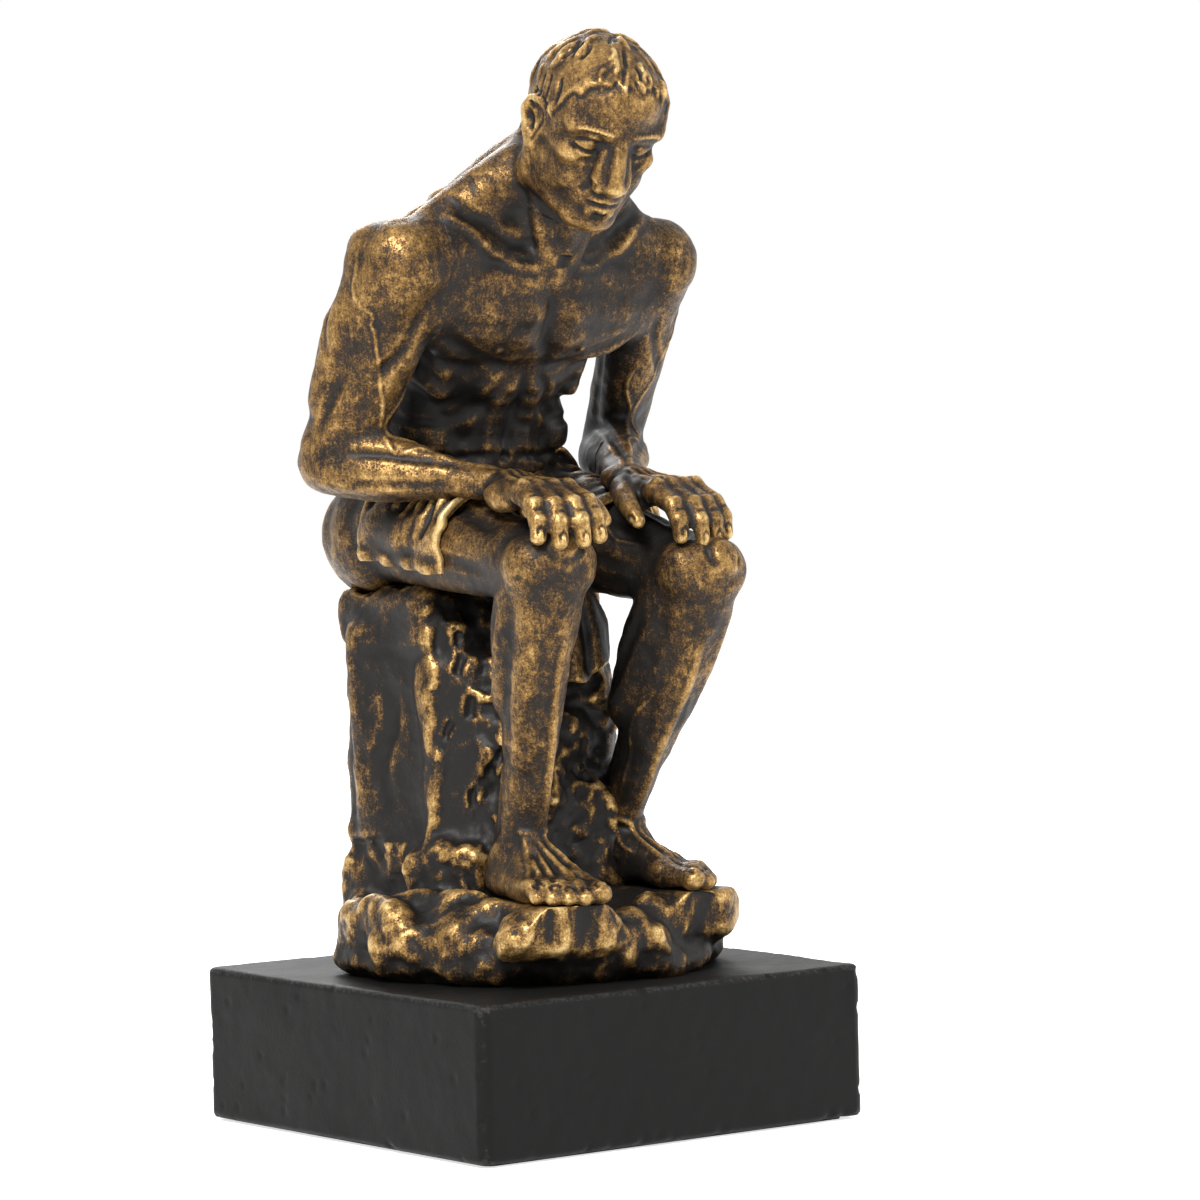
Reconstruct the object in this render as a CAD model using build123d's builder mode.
from build123d import *
from math import cos, radians, sin, sqrt
import os

# A seated, thoughtful man on a rock, cast in sections and pinned together,
# on a black block plinth. The figure faces -Y and its right side is at -X.
# The origin is the middle of the underside, where the felt meets the table.

# Plinth and felt
plinth_width = 130.0
plinth_depth = 130.0
plinth_height = 42.0
plinth_corner_radius = 3.0
plinth_edge_radius = 1.2
felt_thickness = 2.0
felt_proud = 0.8
felt_margin = 4.0
felt_clearance = 0.2

# Bolts that hold the rock down
bolt_radius = 3.0
bolt_hole_clearance = 0.3
bolt_spacing = 46.0
bolt_head_height = 4.0
bolt_head_across_flats = 10.0
bolt_chamfer = 0.5
bolt_engagement = 11.0
counterbore_radius = 8.0
counterbore_depth = 12.0
washer_radius = 6.5
washer_thickness = 1.4
insert_radius = 4.6
insert_length = 12.0
insert_bore_clearance = 0.05
insert_pocket_extra = 1.5

# Ground and seat rock
ground_height = 22.0
ground_width = 112.0
ground_depth = 112.0
seat_width = 62.0
seat_depth = 45.0
seat_back_margin = 8.5
rock_root = 6.0

# Legs
ankle_height = 13.0
knee_forward = 46.0
ankle_spread = 20.0
shin_length = 81.0
left_shin_lean = 24.0
right_shin_lean = 17.0
knee_spread = 26.0
thigh_length = 80.0
hip_rise = 13.0
hip_spread = 19.5
thigh_girth = 35.0
calf_girth = 26.0
thigh_joint_share = 0.30
foot_length = 50.0
foot_width = 21.0
instep_height = 20.0
toe_out = 10.0
toe_radius = 3.0
toe_taper = 0.5

# Trunk
torso_length = 93.5
torso_lean = 26.0
chest_width = 68.0
chest_depth = 44.0
breast_radius = 7.5
blade_radius = 8.0
flank_radius = 9.0
loin_radius = 7.0
nape_radius = 8.5
shoulder_spread = 41.0
shoulder_joint_inset = 8.0
shoulder_drop = 5.0
shoulder_forward = 2.0
deltoid_radius = 15.5
collar_radius = 13.5

# Arms
upper_arm_length = 61.0
forearm_length = 50.0
upper_arm_girth = 25.0
forearm_girth = 21.5
elbow_swing = 62.0
palm_length = 20.0
palm_width = 20.0
palm_thickness = 9.0
finger_length = 19.0
finger_radius = 2.8
finger_taper = 0.6
thumb_length = 17.0
right_wrist_share = 0.70
left_wrist_share = 0.60
wrist_radius = 7.0

# Head
head_height = 49.0
head_width = 37.0
head_depth = 44.0
head_bow = 32.0
head_turn = 12.0
neck_length = 13.0
nose_width = 7.2
nose_projection = 5.0
nose_overlap = 3.4
eye_radius = 4.1
eye_spread = 7.4
lip_radius = 1.7
ear_height = 12.5
ear_thickness = 3.4
ear_depth = 7.4
hair_thickness = 1.2

# Cloth over the lap
drape_thickness = 3.0
drape_rear_share = 0.16
drape_front_share = 0.58
flap_length = 42.0
flap_width = 30.0
fold_depth = 2.4

# Steel pins in the joints
dowel_radius = 2.0
dowel_length = 16.0
dowel_clearance = 0.05
dowel_end_gap = 0.5
dowel_chamfer = 0.4
seat_dowel_spacing = 30.0

# Levels and places worked out from the sizes above, from the ground up
plinth_top = felt_proud + plinth_height
ground_top = plinth_top + ground_height


def mirrored(point, side):
    return Vector(point.X * side, point.Y, point.Z)


def direction(start, end):
    return (end - start).normalized()


def leaning(angle):
    # A unit vector that leans forward from upright by the angle
    return Vector(0, -sin(radians(angle)), cos(radians(angle)))


def shin_lean(side):
    return left_shin_lean if side > 0 else right_shin_lean


shin_reach = sqrt(shin_length**2 - (knee_spread - ankle_spread) ** 2)


def ankle_place(side):
    run = shin_reach * sin(radians(shin_lean(side)))
    return Vector(side * ankle_spread, run - knee_forward, ground_top + ankle_height)


def knee_place(side):
    rise = shin_reach * cos(radians(shin_lean(side)))
    return Vector(side * knee_spread, -knee_forward, ground_top + ankle_height + rise)


knee_middle = (knee_place(1) + knee_place(-1)) / 2
thigh_run = sqrt(thigh_length**2 - hip_rise**2 - (knee_spread - hip_spread) ** 2)
hip = Vector(hip_spread, thigh_run - knee_forward, knee_middle.Z + hip_rise)
hip_middle = Vector(0, hip.Y, hip.Z)

# Stations up the trunk: place along the spine, width, depth, and share of the lean
trunk_shares = (
    (-0.20, 0.84, 0.84, 0.00),
    (-0.12, 0.98, 0.98, 0.05),
    (0.00, 1.05, 1.06, 0.20),
    (0.18, 0.97, 0.98, 0.60),
    (0.38, 0.84, 0.84, 1.00),
    (0.58, 0.92, 0.94, 1.20),
    (0.78, 1.00, 1.04, 1.35),
    (0.92, 0.94, 0.90, 1.50),
    (1.02, 0.68, 0.70, 1.65),
    (1.10, 0.46, 0.62, 1.80),
    (1.18, 0.38, 0.58, 1.90),
)
shoulder_station = 7


def spine_places():
    # Walks up the spine from the hips, turning with each station's lean
    places = []
    seat_share = -trunk_shares[0][0]
    at = hip_middle - Vector(0, 0, seat_share * torso_length)
    previous = trunk_shares[0]
    for station in trunk_shares:
        step = (station[0] - previous[0]) * torso_length
        mean_lean = torso_lean * (station[3] + previous[3]) / 2
        at = at + leaning(mean_lean) * step
        places.append((at, leaning(torso_lean * station[3])))
        previous = station
    return places


spine = spine_places()
seat_top = spine[0][0].Z
shoulder = (
    spine[shoulder_station][0]
    + Vector(shoulder_spread, -shoulder_forward, -shoulder_drop)
)
neck_root, neck_up = spine[-1]
neck_width = chest_width * trunk_shares[-1][1]
neck_depth = chest_depth * trunk_shares[-1][2]


def oval_sections(stations):
    # One ellipse on each plane, for a loft: (plane, width, depth) rows
    sections = []
    for plane, width, depth in stations:
        with BuildSketch(plane) as oval:
            Ellipse(width / 2, depth / 2)
        sections.append(oval.sketch)
    return sections


def rounded_bar(start, end, start_radius, end_radius):
    # A bar with ball ends that tapers from one radius to the other
    along = direction(start, end)
    helper = Vector(0, 0, 1) if abs(along.Z) < abs(along.Y) + abs(along.X) else Vector(1, 0, 0)
    normal = along.cross(helper).normalized()
    plane = Plane(origin=start, x_dir=along, z_dir=normal)
    length = (end - start).length
    with BuildPart() as bar:
        with BuildSketch(plane):
            Circle(start_radius)
            with Locations((length, 0)):
                Circle(end_radius)
            make_hull()
            split(bisect_by=Plane.XZ, keep=Keep.TOP)
        revolve(axis=Axis(start, along))
    return bar.part


# Stations down the thigh and the shin: share along, width and depth
thigh_shares = (
    (0.00, 0.98, 1.02),
    (0.25, 1.00, 1.02),
    (0.50, 0.92, 0.96),
    (0.78, 0.77, 0.80),
    (1.00, 0.74, 0.76),
)
shin_shares = (
    (0.00, 0.96, 1.00),
    (0.20, 0.94, 1.02),
    (0.38, 1.02, 1.12),
    (0.60, 0.82, 0.88),
    (0.82, 0.58, 0.66),
    (1.00, 0.58, 0.72),
)
knee_share = 0.39


def limb_sections(start, end, girth, shares, across):
    # Ellipses square to the line from start to end
    rows = []
    for share, width_share, depth_share in shares:
        plane = Plane(start + (end - start) * share, x_dir=across, z_dir=direction(start, end))
        rows.append((plane, girth * width_share, girth * depth_share))
    return oval_sections(rows)


def thigh_sections(side):
    return limb_sections(
        mirrored(hip, side), knee_place(side), thigh_girth, thigh_shares, Vector(1, 0, 0)
    )


def shin_sections(side):
    return limb_sections(
        knee_place(side), ankle_place(side), calf_girth, shin_shares, Vector(1, 0, 0)
    )


# Stations along a foot from the heel: place, width and top height
foot_shares = (
    (0.02, 0.44, 0.48),
    (0.14, 0.66, 0.94),
    (0.30, 0.74, 1.00),
    (0.48, 0.82, 0.80),
    (0.66, 0.98, 0.54),
    (0.82, 1.00, 0.34),
    (0.88, 0.90, 0.26),
)
foot_centre_share = 0.30
heel_share = 0.24
# Each toe from the big one out: place across, root and tip along the foot, and size
toe_shares = (
    (0.36, 0.80, 0.96, 1.35),
    (0.15, 0.82, 0.96, 1.00),
    (-0.03, 0.81, 0.93, 0.95),
    (-0.20, 0.79, 0.89, 0.90),
    (-0.36, 0.75, 0.84, 0.85),
)


def foot_frame(side):
    forward = Vector(side * sin(radians(toe_out)), -cos(radians(toe_out)), 0)
    inward = Vector(-side * cos(radians(toe_out)), -sin(radians(toe_out)), 0)
    heel = ankle_place(side) - forward * (heel_share * foot_length)
    return Vector(heel.X, heel.Y, ground_top), forward, inward


def foot_sections(side):
    heel, forward, inward = foot_frame(side)
    rows = []
    for share, width_share, height_share in foot_shares:
        height = instep_height * height_share
        centre = heel + forward * (share * foot_length) + Vector(0, 0, height * foot_centre_share)
        plane = Plane(centre, x_dir=inward, z_dir=forward)
        rows.append((plane, foot_width * width_share, 2 * height * (1 - foot_centre_share)))
    return oval_sections(rows)


def toe_bars(side):
    heel, forward, inward = foot_frame(side)
    bars = []
    for across_share, root_share, tip_share, size_share in toe_shares:
        radius = toe_radius * size_share
        lift = Vector(0, 0, radius)
        root = heel + inward * (across_share * foot_width) + forward * (root_share * foot_length) + lift
        tip = heel + inward * (across_share * foot_width) + forward * (tip_share * foot_length) + lift
        bars.append(rounded_bar(root, tip - Vector(0, 0, toe_taper / 2), radius, radius - toe_taper))
    return bars


def thigh_joint(side):
    # The flat joint between a leg casting and the hips, hidden under the cloth
    top = mirrored(hip, side)
    middle = knee_place(side)
    at = top + (middle - top) * thigh_joint_share
    return Plane(at, x_dir=Vector(1, 0, 0), z_dir=direction(top, middle))


def make_leg(side, others):
    toes = toe_bars(side)
    thigh = thigh_sections(side)
    shin = shin_sections(side)
    foot = foot_sections(side)
    with BuildPart() as leg:
        loft(sections=thigh)
        split(bisect_by=thigh_joint(side), keep=Keep.TOP)
        with Locations(knee_place(side)):
            Sphere(thigh_girth * knee_share)
        loft(sections=shin)
        loft(sections=foot)
        add(toes)
        split(bisect_by=Plane.XY.offset(ground_top), keep=Keep.TOP)
        for other in others:
            add(other, mode=Mode.SUBTRACT)
    return leg.part


def thigh_stub(side):
    # The part of the thigh above the joint, which is cast with the hips
    thigh = thigh_sections(side)
    with BuildPart() as stub:
        loft(sections=thigh)
        split(bisect_by=thigh_joint(side), keep=Keep.BOTTOM)
    return stub.part


def shoulder_plane(side):
    at = mirrored(shoulder, side) - Vector(side * shoulder_joint_inset, 0, 0)
    return Plane(at, x_dir=Vector(0, 1, 0), z_dir=Vector(side, 0, 0))


def shoulder_bar(side):
    # From the neck out to the ball of the shoulder, on both sides of the arm joint
    inner = spine[shoulder_station + 1][0]
    outer = mirrored(shoulder, side)
    return rounded_bar(Vector(0, inner.Y, inner.Z), outer, collar_radius, deltoid_radius)


def collar(side):
    # The shoulder bar of the trunk, out to the flat arm joint
    bar = shoulder_bar(side)
    with BuildPart() as trimmed:
        add(bar)
        split(bisect_by=shoulder_plane(side), keep=Keep.BOTTOM)
    return trimmed.part


def on_trunk(share, across, front):
    # A place by its share up the spine, and distances across and to the front
    for low, high in zip(range(len(spine)), range(1, len(spine))):
        if share <= trunk_shares[high][0]:
            break
    span = trunk_shares[high][0] - trunk_shares[low][0]
    part = (share - trunk_shares[low][0]) / span
    at = spine[low][0] + (spine[high][0] - spine[low][0]) * part
    up = (spine[low][1] + (spine[high][1] - spine[low][1]) * part).normalized()
    return at + Vector(across, 0, 0) + Vector(1, 0, 0).cross(up) * front


# Muscles of the trunk: share up the spine, across and front of both ends, as shares of the chest
breast_shares = ((0.76, 0.10, 0.34), (0.86, 0.36, 0.22))
blade_shares = ((0.66, 0.30, -0.24), (0.86, 0.18, -0.34))
flank_shares = ((0.42, 0.27, -0.16), (0.70, 0.35, -0.10))
loin_shares = ((0.06, 0.11, -0.38), (0.66, 0.12, -0.36))
nape_shares = ((1.12, 0.07, -0.16), (0.96, 0.30, -0.16))


def trunk_muscles(side):
    bars = []
    for ends, radius in (
        (breast_shares, breast_radius),
        (blade_shares, blade_radius),
        (flank_shares, flank_radius),
        (loin_shares, loin_radius),
        (nape_shares, nape_radius),
    ):
        start, end = [
            on_trunk(share, side * across * chest_width, front * chest_depth)
            for share, across, front in ends
        ]
        bars.append(rounded_bar(start, end, radius, radius * muscle_taper_share))
    return bars


muscle_taper_share = 0.92


def trunk_sections():
    rows = []
    for (at, up), (_, width_share, depth_share, _) in zip(spine, trunk_shares):
        plane = Plane(at, x_dir=Vector(1, 0, 0), z_dir=up)
        rows.append((plane, chest_width * width_share, chest_depth * depth_share))
    return oval_sections(rows)


# Stations along the arm: share along, width and depth
upper_arm_shares = (
    (0.00, 0.92, 1.04),
    (0.30, 0.92, 1.10),
    (0.60, 0.88, 1.04),
    (1.00, 0.80, 0.86),
)
forearm_shares = (
    (0.00, 0.88, 0.88),
    (0.28, 1.04, 0.96),
    (0.60, 0.84, 0.78),
    (1.00, 0.62, 0.54),
)
elbow_share = 0.46
# Stations along the palm, then the place of each finger: across, and its length
palm_shares = (
    (0.00, 0.64, 1.00),
    (0.45, 0.94, 1.04),
    (1.00, 1.00, 0.84),
)
finger_shares = (
    (-0.37, 0.92),
    (-0.13, 1.04),
    (0.11, 1.00),
    (0.34, 0.84),
)
knuckle_share = 0.88
finger_bend_share = 0.55
first_curl = 10.0
second_curl = 28.0
thumb_root_share = 0.30
thumb_out = 38.0
thumb_curl = 14.0


def hand_frame(side):
    # Wrist place, the way the fingers point, up off the thigh, and towards the little finger
    wrist_share = left_wrist_share if side > 0 else right_wrist_share
    top = mirrored(hip, side)
    middle = knee_place(side)
    forward = direction(top, middle)
    outward = Vector(side, 0, 0)
    up = forward.cross(Vector(1, 0, 0)).normalized()
    up = up if up.Z > 0 else up * -1
    outward = (outward - forward * outward.dot(forward)).normalized()
    rest_share = wrist_share + palm_length / thigh_length / 2
    rest_radius = thigh_girth * thigh_top_share(rest_share) / 2
    wrist = top + (middle - top) * wrist_share + up * (rest_radius + palm_thickness / 2)
    return wrist, forward, up, outward


def thigh_top_share(share):
    # The thigh's depth at a place along it, between the stations
    for low, high in zip(thigh_shares, thigh_shares[1:]):
        if share <= high[0]:
            return low[2] + (high[2] - low[2]) * (share - low[0]) / (high[0] - low[0])
    return thigh_shares[-1][2]


def elbow_place(side):
    # The elbow hangs behind and outside the line from shoulder to wrist
    top = mirrored(shoulder, side)
    wrist = hand_frame(side)[0]
    reach = (wrist - top).length
    along = (upper_arm_length**2 + reach**2 - forearm_length**2) / (2 * reach)
    away = sqrt(upper_arm_length**2 - along**2)
    swing = Vector(side * cos(radians(elbow_swing)), sin(radians(elbow_swing)), 0)
    line = direction(top, wrist)
    swing = (swing - line * swing.dot(line)).normalized()
    return top + line * along + swing * away


def hand_bars(side):
    wrist, forward, up, outward = hand_frame(side)
    bars = []
    for across_share, length_share in finger_shares:
        length = finger_length * length_share
        root = wrist + forward * (palm_length * knuckle_share) + outward * (across_share * palm_width)
        first = forward * cos(radians(first_curl)) - up * sin(radians(first_curl))
        second = forward * cos(radians(second_curl)) - up * sin(radians(second_curl))
        middle = root + first * (length * finger_bend_share)
        tip = middle + second * (length * (1 - finger_bend_share))
        slim = finger_radius - finger_taper / 2
        bars.append(rounded_bar(root, middle, finger_radius, slim))
        bars.append(rounded_bar(middle, tip, slim, finger_radius - finger_taper))
    root = wrist + forward * (palm_length * thumb_root_share) - outward * (palm_width * thumb_root_share)
    spread = forward * cos(radians(thumb_out)) - outward * sin(radians(thumb_out))
    reach = spread * cos(radians(thumb_curl)) - up * sin(radians(thumb_curl))
    tip = root + reach * thumb_length
    bars.append(rounded_bar(root, tip, finger_radius + finger_taper, finger_radius))
    return bars


def palm_sections(side):
    wrist, forward, _, outward = hand_frame(side)
    rows = []
    for share, width_share, depth_share in palm_shares:
        plane = Plane(wrist + forward * (palm_length * share), x_dir=outward, z_dir=forward)
        rows.append((plane, palm_width * width_share, palm_thickness * depth_share))
    return oval_sections(rows)


def make_arm(side, others):
    top = mirrored(shoulder, side)
    elbow = elbow_place(side)
    wrist = hand_frame(side)[0]
    across = (elbow - top).cross(wrist - elbow).normalized()
    upper = limb_sections(top, elbow, upper_arm_girth, upper_arm_shares, across)
    fore = limb_sections(elbow, wrist, forearm_girth, forearm_shares, across)
    palm = palm_sections(side)
    bars = hand_bars(side)
    ball = shoulder_bar(side)
    with BuildPart() as arm:
        loft(sections=upper)
        add(ball)
        split(bisect_by=shoulder_plane(side), keep=Keep.TOP)
        with Locations(elbow):
            Sphere(upper_arm_girth * elbow_share)
        loft(sections=fore)
        with Locations(wrist):
            Sphere(wrist_radius)
        loft(sections=palm)
        add(bars)
        for other in others:
            add(other, mode=Mode.SUBTRACT)
    return arm.part


# Stations up the head from the chin: height, width, depth and shift towards the face
head_shares = (
    (0.00, 0.40, 0.34, 0.26),
    (0.09, 0.58, 0.62, 0.15),
    (0.24, 0.76, 0.84, 0.05),
    (0.42, 0.90, 0.94, 0.00),
    (0.58, 0.97, 1.00, -0.01),
    (0.74, 1.00, 0.99, -0.02),
    (0.88, 0.86, 0.84, -0.03),
    (0.96, 0.58, 0.56, -0.04),
    (1.00, 0.26, 0.26, -0.04),
)
skull_height_share = 0.58
skull_rise_share = 0.22
skull_forward_share = 0.07

head_up = leaning(head_bow)
face_ahead = Vector(0, -cos(radians(head_bow)), -sin(radians(head_bow)))
face_forward = face_ahead * cos(radians(head_turn)) - Vector(1, 0, 0) * sin(radians(head_turn))
head_across = Vector(1, 0, 0) * cos(radians(head_turn)) + face_ahead * sin(radians(head_turn))
skull_middle = (
    neck_root
    + neck_up * neck_length
    + head_up * (skull_rise_share * head_height)
    + face_forward * (skull_forward_share * head_depth)
)
chin = skull_middle - head_up * (skull_height_share * head_height)


def on_head(height_share, forward, across=0.0):
    # A place on the head by height above the chin, and distances forward and across
    return chin + head_up * (height_share * head_height) + face_forward * forward + head_across * across


def head_sections(extra):
    rows = []
    for height_share, width_share, depth_share, shift_share in head_shares:
        centre = on_head(height_share, shift_share * head_depth)
        plane = Plane(centre, x_dir=head_across, z_dir=head_up)
        rows.append((plane, head_width * width_share + extra, head_depth * depth_share + extra))
    return oval_sections(rows)


def neck_sections():
    turned = (neck_up + head_up).normalized()
    base = Plane(neck_root, x_dir=Vector(1, 0, 0), z_dir=neck_up)
    middle = Plane(neck_root + neck_up * (neck_length / 2), x_dir=Vector(1, 0, 0), z_dir=turned)
    nape = neck_root + neck_up * neck_length + head_up * (neck_length / 2)
    top = Plane(nape, x_dir=Vector(1, 0, 0), z_dir=head_up)
    return oval_sections([(plane, neck_width, neck_depth) for plane in (base, middle, top)])


# The hairline: a plane from the top of the forehead down to the nape
hairline_front_share = 0.84
hairline_back_share = 0.20
# Heights of the features above the chin
brow_share = 0.62
eye_share = 0.54
nose_tip_share = 0.36
mouth_share = 0.22
ear_share = 0.47
face_front_share = 0.47
brow_reach_share = 0.36
mouth_reach_share = 0.16
ear_set_share = 0.45


def make_hair():
    front = on_head(hairline_front_share, head_depth / 2)
    back = on_head(hairline_back_share, -head_depth / 2)
    slope = (front - back).normalized()
    cap = head_sections(2 * hair_thickness)
    line = Plane(front, x_dir=head_across, z_dir=slope.cross(head_across))
    keep_up = line.z_dir.dot(head_up) > 0
    with BuildPart() as hair:
        loft(sections=cap)
        split(bisect_by=line, keep=Keep.TOP if keep_up else Keep.BOTTOM)
    return hair.part


def face_bars():
    # Nose, brows, lips and chin, as bars with ball ends
    face = head_depth * face_front_share
    bars = [
        rounded_bar(
            on_head(eye_share, face - nose_overlap / 2),
            on_head(nose_tip_share, face + nose_projection - nose_width / 2),
            nose_width / 3,
            nose_width / 2,
        )
    ]
    reach = head_width * mouth_reach_share
    for side in (-1, 1):
        inner = on_head(brow_share, face - nose_overlap / 2, side * nose_width / 3)
        outer = on_head(brow_share, face - eye_radius - lip_radius, side * head_width * brow_reach_share)
        bars.append(rounded_bar(inner, outer, lip_radius, lip_radius + hair_thickness / 2))
        corner = on_head(mouth_share, face - lip_radius - hair_thickness, side * reach)
        middle = on_head(mouth_share, face)
        bars.append(rounded_bar(middle, corner, lip_radius + hair_thickness / 2, lip_radius))
    return bars


def make_head(others):
    hair = make_hair()
    bars = face_bars()
    skull = head_sections(0)
    neck = neck_sections()
    face = head_depth * face_front_share
    ear_plane = Plane(on_head(ear_share, 0), x_dir=face_forward, z_dir=head_across)
    with BuildPart() as ears:
        with BuildSketch(ear_plane):
            Ellipse(ear_depth / 2, ear_height / 2)
        extrude(amount=head_width * ear_set_share + ear_thickness, both=True)
    with BuildPart() as head:
        loft(sections=skull)
        for side in (-1, 1):
            with Locations(on_head(eye_share, face, side * eye_spread)):
                Sphere(eye_radius, mode=Mode.SUBTRACT)
            with Locations(on_head(eye_share, face - eye_radius, side * eye_spread)):
                Sphere(eye_radius)
        loft(sections=neck)
        add(hair)
        add(bars)
        add(ears.part)
        for other in others:
            add(other, mode=Mode.SUBTRACT)
    return head.part


# Joint planes for the pins
neck_joint = Plane(neck_root, x_dir=Vector(1, 0, 0), z_dir=neck_up)
shoulder_joints = [shoulder_plane(side) for side in (-1, 1)]
thigh_joints = [thigh_joint(side) for side in (-1, 1)]
seat_joints = [
    Plane(Vector(side * seat_dowel_spacing / 2, hip.Y, seat_top), z_dir=Vector(0, 0, 1))
    for side in (-1, 1)
]


def make_torso():
    trunk = trunk_sections()
    stubs = [thigh_stub(side) for side in (-1, 1)]
    collars = [collar(side) for side in (-1, 1)]
    muscles = trunk_muscles(-1) + trunk_muscles(1)
    with BuildPart() as torso:
        loft(sections=trunk)
        add(stubs)
        add(collars)
        add(muscles)
    return torso.part


# Pleats of the cloth that hang between the knees: place across, and length
pleat_shares = (
    (-0.42, 0.84),
    (-0.20, 0.96),
    (0.02, 1.00),
    (0.24, 0.92),
    (0.44, 0.78),
)
thigh_core_share = 0.40
sag_share = 0.30
flank_share = 0.45


def drape_plane(share):
    middle = hip_middle + (knee_middle - hip_middle) * share
    along = direction(hip_middle, knee_middle)
    return Plane(middle, x_dir=Vector(1, 0, 0), z_dir=along)


def pleat_bars():
    edge = drape_plane(drape_front_share)
    drop = thigh_girth * sag_share - drape_thickness
    bars = []
    for across_share, length_share in pleat_shares:
        top = edge.origin + Vector(across_share * flap_width, 0, drop)
        bottom = top - Vector(0, fold_depth, flap_length * length_share)
        bars.append(rounded_bar(top, bottom, drape_thickness, drape_thickness + fold_depth / 3))
    return bars


def make_drape(others):
    across = (hip_spread + knee_spread) / 2
    core = thigh_girth * thigh_core_share
    outside = thigh_girth / 2 + drape_thickness
    sag = thigh_girth * sag_share
    flank = thigh_girth * flank_share
    bars = pleat_bars()
    length = (knee_middle - hip_middle).length * (drape_front_share - drape_rear_share)
    with BuildPart() as drape:
        with BuildSketch(drape_plane(drape_rear_share)):
            with Locations((-across, 0), (across, 0)):
                Circle(outside)
            Rectangle(2 * across, sag, align=(Align.CENTER, Align.MAX))
            with Locations((-across, 0), (across, 0)):
                Circle(core, mode=Mode.SUBTRACT)
            with Locations((0, sag - drape_thickness)):
                Rectangle(2 * across, 2 * outside, align=(Align.CENTER, Align.MAX), mode=Mode.SUBTRACT)
        extrude(amount=length)
        add(bars)
        for other in others:
            add(other, mode=Mode.SUBTRACT)
    return drape


# Outlines of the rock, seen from above, as shares of half its width and depth
ground_outline_shares = (
    (-0.96, -0.30),
    (-0.80, -0.66),
    (-0.42, -0.93),
    (0.06, -1.00),
    (0.50, -0.92),
    (0.86, -0.62),
    (1.00, -0.12),
    (0.94, 0.38),
    (0.72, 0.78),
    (0.28, 0.98),
    (-0.22, 1.00),
    (-0.66, 0.86),
    (-0.95, 0.48),
    (-1.00, 0.08),
)
seat_outline_shares = (
    (-0.98, -0.24),
    (-0.66, -0.90),
    (0.00, -1.00),
    (0.62, -0.94),
    (1.00, -0.30),
    (0.96, 0.46),
    (0.60, 0.94),
    (-0.06, 1.00),
    (-0.68, 0.90),
    (-1.00, 0.36),
)
# Broken slabs of the seat: middle across and back, half width and depth, as shares of the
# seat's halves, then the share of its height that they reach, their turn and their tilt
slab_shares = (
    (-0.13, -0.16, 0.84, 0.96, 0.90, 15.0, -3.0),
    (0.19, -0.42, 0.76, 0.80, 0.84, -13.0, 3.0),
    (-0.36, -0.80, 0.54, 0.54, 0.78, 38.0, -4.0),
    (0.46, -0.84, 0.50, 0.54, 0.72, -32.0, 4.0),
    (-0.06, -1.28, 0.54, 0.54, 0.56, 10.0, -5.0),
    (0.20, -1.40, 0.50, 0.54, 0.34, -14.0, -7.0),
    (-0.66, -0.98, 0.40, 0.58, 0.18, 28.0, -9.0),
    (0.02, -0.02, 1.03, 1.05, 0.23, 8.0, 0.0),
)
# Levels of each rock form: height, spread, and where its lumps start
ground_levels_shares = (
    (0.00, 0.91, 0.0),
    (0.28, 0.99, 0.9),
    (0.58, 0.98, 1.6),
    (0.84, 0.93, 2.4),
    (1.00, 0.82, 3.1),
)
seat_levels_shares = (
    (0.00, 1.06, 0.4),
    (0.30, 0.99, 1.9),
    (0.62, 0.95, 3.0),
    (0.90, 0.99, 4.4),
    (1.00, 0.94, 5.0),
)
lump_share = 0.025
lump_turn = 2.3


def crag_sections(outline_shares, levels_shares, width, depth, centre_y, bottom, top):
    # One uneven outline at each level, for a ruled loft with flat crags
    sections = []
    for height_share, spread_share, start_turn in levels_shares:
        points = []
        for place, (x_share, y_share) in enumerate(outline_shares):
            reach = spread_share + lump_share * sin(start_turn + place * lump_turn)
            points.append((x_share * reach * width / 2, y_share * reach * depth / 2))
        level = Plane(origin=(0, centre_y, bottom + (top - bottom) * height_share), z_dir=(0, 0, 1))
        with BuildSketch(level) as outline:
            Polygon(*points, align=None)
        sections.append(outline.sketch)
    return sections


seat_middle_y = ground_depth / 2 - seat_back_margin - seat_depth / 2
bolt_places = [(side * bolt_spacing / 2, seat_middle_y) for side in (-1, 1)]


def seat_slabs():
    # Each slab's place with its turn and tilt, and its half sizes
    rows = []
    bottom = ground_top - rock_root
    for across, back, width_share, depth_share, top_share, turn, tilt in slab_shares:
        top = ground_top + (seat_top - ground_top) * top_share
        middle = (
            across * seat_width / 2,
            seat_middle_y + back * seat_depth / 2,
            (top + bottom) / 2,
        )
        half_height = (top - bottom) / 2
        rows.append((Location(middle, (tilt, 0, turn)), width_share * seat_width / 2,
                     depth_share * seat_depth / 2, half_height))
    return rows


def make_rock(others):
    ground = crag_sections(
        ground_outline_shares, ground_levels_shares, ground_width, ground_depth, 0, plinth_top, ground_top
    )
    seat = crag_sections(
        seat_outline_shares,
        seat_levels_shares,
        seat_width,
        seat_depth,
        seat_middle_y,
        ground_top - rock_root,
        seat_top,
    )
    slabs = seat_slabs()
    with BuildPart() as rock:
        loft(sections=ground, ruled=True)
        loft(sections=seat, ruled=True)
        for place, half_width, half_depth, half_height in slabs:
            with Locations(place):
                Box(2 * half_width, 2 * half_depth, 2 * half_height)
        for other in others:
            add(other, mode=Mode.SUBTRACT)
        with BuildSketch(Plane.XY.offset(plinth_top)):
            with Locations(*bolt_places):
                Circle(insert_radius + insert_bore_clearance)
        extrude(amount=insert_length + insert_pocket_extra, mode=Mode.SUBTRACT)
    return rock.part


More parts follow.
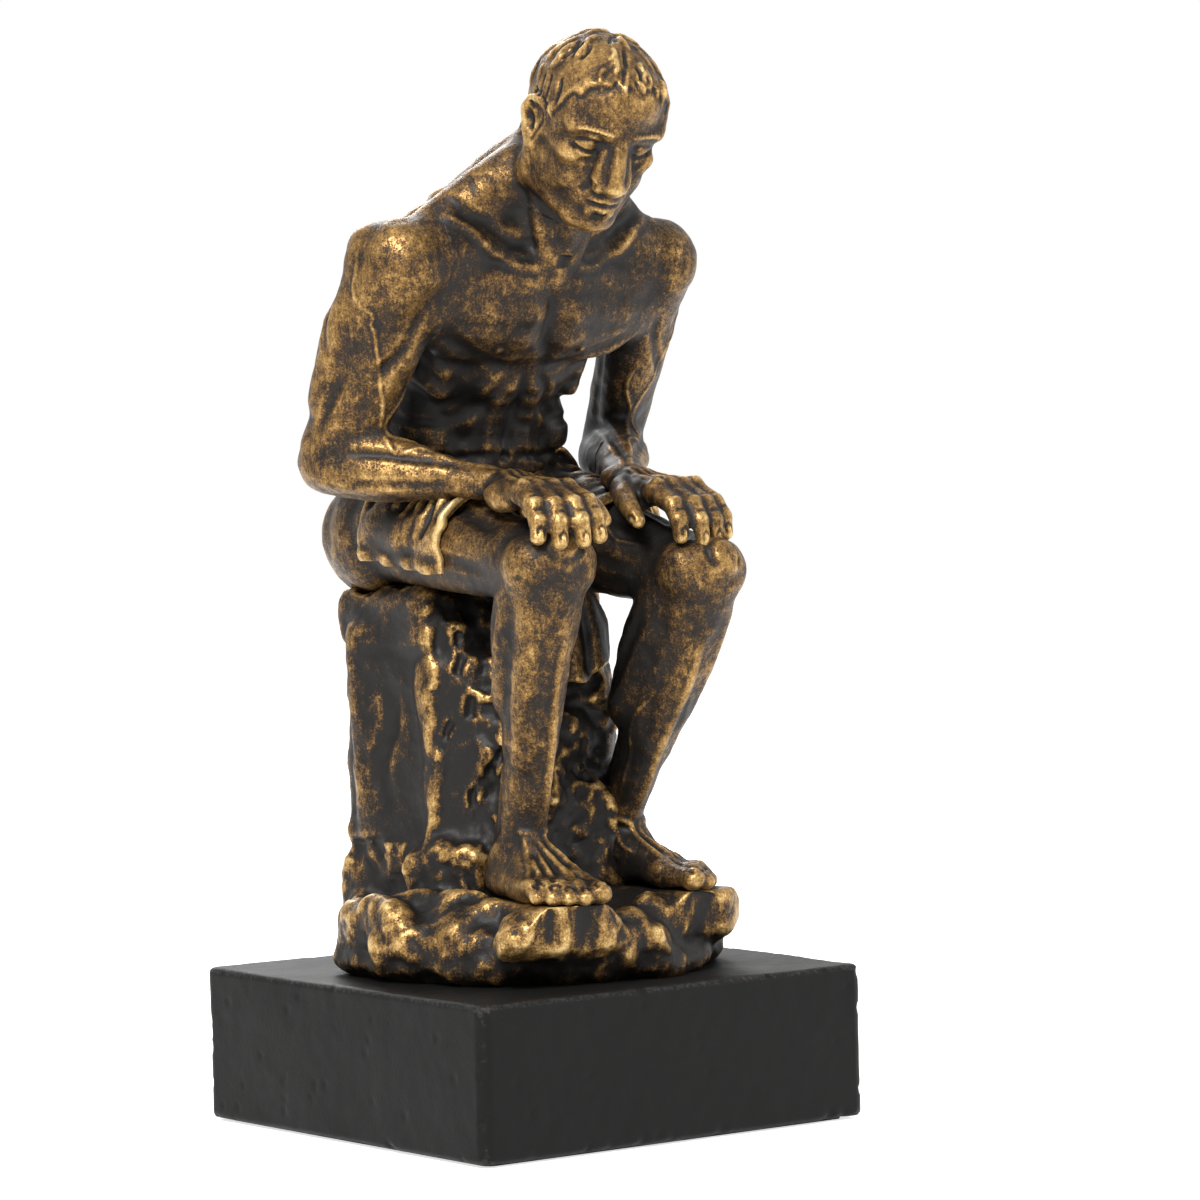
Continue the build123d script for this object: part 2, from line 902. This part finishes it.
def bored(solid, joints):
    # The casting with a blind pin hole across each of its joints
    with BuildPart() as casting:
        add(solid)
        with Locations(*joints):
            Cylinder(
                dowel_radius + dowel_clearance,
                dowel_length + 2 * dowel_end_gap,
                mode=Mode.SUBTRACT,
            )
    return casting


def make_pins(joints):
    with BuildPart() as pins:
        with Locations(*joints):
            Cylinder(dowel_radius, dowel_length)
        chamfer(pins.edges().filter_by(GeomType.CIRCLE), dowel_chamfer)
    return pins


felt_width = plinth_width - 2 * felt_margin
felt_depth = plinth_depth - 2 * felt_margin
counterbore_top = felt_thickness + counterbore_depth


def make_plinth():
    with BuildPart() as plinth:
        with BuildSketch(Plane.XY.offset(felt_proud)):
            RectangleRounded(plinth_width, plinth_depth, plinth_corner_radius)
        extrude(amount=plinth_height)
        fillet(plinth.faces().sort_by(Axis.Z)[0].edges(), plinth_edge_radius)
        fillet(plinth.faces().sort_by(Axis.Z)[-1].edges(), plinth_edge_radius)
        with BuildSketch(Plane.XY.offset(felt_proud)):
            RectangleRounded(felt_width, felt_depth, plinth_corner_radius)
        extrude(amount=felt_thickness - felt_proud, mode=Mode.SUBTRACT)
        with BuildSketch(Plane.XY.offset(felt_thickness)):
            with Locations(*bolt_places):
                Circle(counterbore_radius)
        extrude(amount=counterbore_depth, mode=Mode.SUBTRACT)
        with BuildSketch(Plane.XY.offset(counterbore_top)):
            with Locations(*bolt_places):
                Circle(bolt_radius + bolt_hole_clearance)
        extrude(amount=plinth_top - counterbore_top, mode=Mode.SUBTRACT)
    return plinth


def make_felt():
    with BuildPart() as felt:
        with BuildSketch():
            RectangleRounded(felt_width, felt_depth, plinth_corner_radius)
            offset(amount=-felt_clearance, mode=Mode.REPLACE)
        extrude(amount=felt_thickness)
    return felt


def make_washers():
    with BuildPart() as washers:
        with BuildSketch(Plane.XY.offset(counterbore_top - washer_thickness)):
            with Locations(*bolt_places):
                Circle(washer_radius)
                Circle(bolt_radius + bolt_hole_clearance, mode=Mode.SUBTRACT)
        extrude(amount=washer_thickness)
    return washers


def make_bolts():
    seat = counterbore_top - washer_thickness
    with BuildPart() as bolts:
        with BuildSketch(Plane.XY.offset(seat)):
            with Locations(*bolt_places):
                RegularPolygon(bolt_head_across_flats / 2, 6, major_radius=False)
        extrude(amount=-bolt_head_height)
        with BuildSketch(Plane.XY.offset(seat)):
            with Locations(*bolt_places):
                Circle(bolt_radius)
        extrude(amount=plinth_top + bolt_engagement - seat)
        chamfer(bolts.faces().sort_by(Axis.Z)[-2:].edges(), bolt_chamfer)
    return bolts


def make_inserts():
    with BuildPart() as inserts:
        with BuildSketch(Plane.XY.offset(plinth_top)):
            with Locations(*bolt_places):
                Circle(insert_radius)
                Circle(bolt_radius + insert_bore_clearance, mode=Mode.SUBTRACT)
        extrude(amount=insert_length)
    return inserts


# The castings whole, each cut by the ones that it rests against
body = make_torso()
leg_left = make_leg(1, [body])
leg_right = make_leg(-1, [body])
rock = make_rock([body, leg_left, leg_right])
cloth = make_drape([body, rock, leg_left, leg_right])
arm_left = make_arm(1, [body, cloth.part, leg_left])
arm_right = make_arm(-1, [body, cloth.part, leg_right])
skull = make_head([body])

pieces = {
    "plinth": make_plinth(),
    "base_felt": make_felt(),
    "mounting_bolts": make_bolts(),
    "bolt_washers": make_washers(),
    "threaded_inserts": make_inserts(),
    "rock_seat": bored(rock, seat_joints),
    "torso": bored(body, [neck_joint, *shoulder_joints, *thigh_joints, *seat_joints]),
    "head": bored(skull, [neck_joint]),
    "left_arm": bored(arm_left, shoulder_joints[1:]),
    "right_arm": bored(arm_right, shoulder_joints[:1]),
    "left_leg": bored(leg_left, thigh_joints[1:]),
    "right_leg": bored(leg_right, thigh_joints[:1]),
    "lap_drape": cloth,
    "neck_dowel": make_pins([neck_joint]),
    "shoulder_dowels": make_pins(shoulder_joints),
    "hip_dowels": make_pins(thigh_joints),
    "seat_dowels": make_pins(seat_joints),
}

os.makedirs("parts", exist_ok=True)
for name, piece in pieces.items():
    piece.part.label = name
    export_step(piece.part, "parts/" + name + ".step")
